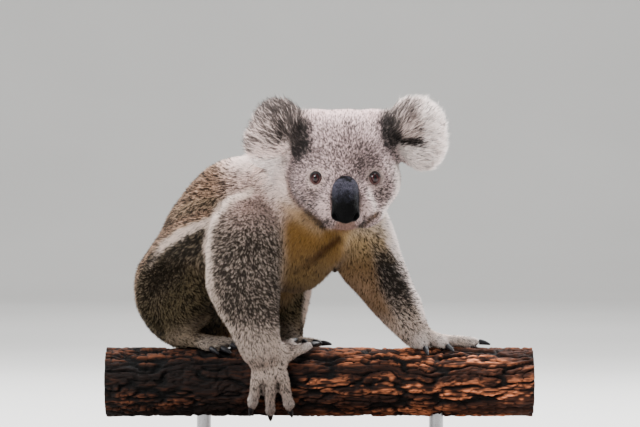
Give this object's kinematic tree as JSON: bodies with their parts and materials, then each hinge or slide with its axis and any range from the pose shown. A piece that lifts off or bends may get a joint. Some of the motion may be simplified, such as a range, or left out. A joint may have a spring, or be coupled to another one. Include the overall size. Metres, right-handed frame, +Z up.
{
  "type": "koala",
  "caption": "Life-size koala model standing on all fours along a short cut branch, facing forward, on a plain display stand.",
  "frame": {"origin": "middle of the underside of the stand's base", "axes": "+X along the branch, towards the koala's outstretched left hand, -Y the way its face looks, +Z up"},
  "size_m": [0.48, 0.38, 0.4183],
  "materials": {
    "fur_grey": "dense woolly fur, speckled dark and pale grey with a pinkish brown tint on the back, cream on the chest and along the limbs' rear edges",
    "fur_pale": "short pale grey to cream fur on the hands and feet",
    "nose_leather": "bare black leathery skin, greyer and duller towards the top",
    "eye_brown": "glossy dark red-brown eye",
    "claw_dark": "smooth dark horn",
    "bark": "rough furrowed dark red-brown bark, pale sawn ends",
    "stand_wood": "satin dark-stained hardwood",
    "stand_steel": "brushed steel"
  },
  "bodies": {
    "root": {"claw_foot_left_2": "claw_dark", "claw_foot_left_3": "claw_dark", "claw_foot_left_4": "claw_dark", "claw_foot_left_5": "claw_dark", "claw_foot_right_2": "claw_dark", "claw_foot_right_3": "claw_dark", "claw_foot_right_4": "claw_dark", "claw_foot_right_5": "claw_dark", "claw_hand_left_1": "claw_dark", "claw_hand_left_2": "claw_dark", "claw_hand_left_3": "claw_dark", "claw_hand_left_4": "claw_dark", "claw_hand_left_5": "claw_dark", "claw_hand_right_1": "claw_dark", "claw_hand_right_2": "claw_dark", "claw_hand_right_3": "claw_dark", "claw_hand_right_4": "claw_dark", "claw_hand_right_5": "claw_dark", "ear_left": "fur_grey", "ear_right": "fur_grey", "eye_left": "eye_brown", "eye_right": "eye_brown", "foot_left": "fur_pale", "foot_right": "fur_pale", "forearm_left": "fur_grey", "forearm_right": "fur_grey", "hand_left": "fur_pale", "hand_right": "fur_pale", "head": "fur_grey", "neck": "fur_grey", "nose": "nose_leather", "perch": "bark", "shank_left": "fur_grey", "shank_right": "fur_grey", "stand_base": "stand_wood", "stand_rod_left": "stand_steel", "stand_rod_right": "stand_steel", "thigh_left": "fur_grey", "thigh_right": "fur_grey", "trunk": "fur_grey", "upper_arm_left": "fur_grey", "upper_arm_right": "fur_grey"}
  },
  "joints": []
}
